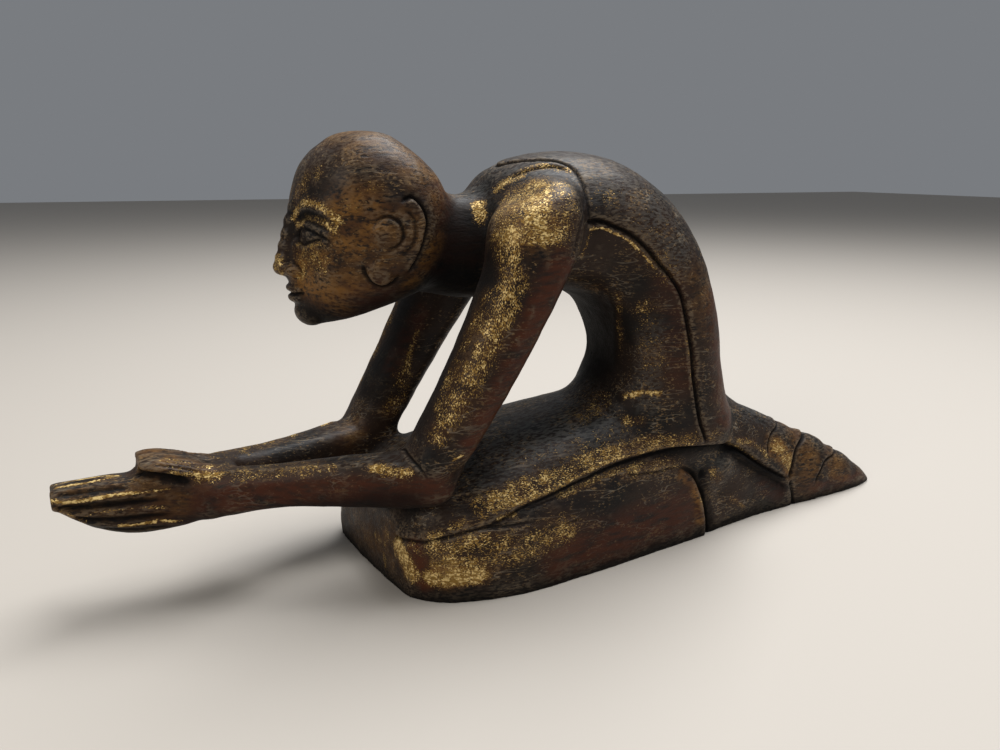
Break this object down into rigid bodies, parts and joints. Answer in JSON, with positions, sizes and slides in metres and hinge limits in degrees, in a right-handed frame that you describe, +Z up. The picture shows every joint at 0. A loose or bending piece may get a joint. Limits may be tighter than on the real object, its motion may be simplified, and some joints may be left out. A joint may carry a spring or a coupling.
{
  "type": "praying monk figure",
  "caption": "Hand-carved wooden figure of a kneeling monk who bows over his knees, elbows resting on them and joined hands stretched out in front.",
  "frame": {"origin": "middle of the footprint's box, on the surface that the figure kneels on", "axes": "+Z up, -Y the way the figure faces and reaches, +X towards the figure's left"},
  "size_m": [0.07, 0.2954, 0.1349],
  "materials": {
    "lacquered_wood": "dark brown lacquer on carved wood, with gilding worn down to specks and rubbed patches"
  },
  "bodies": {
    "root": {"praying_monk": "lacquered_wood"}
  },
  "joints": []
}
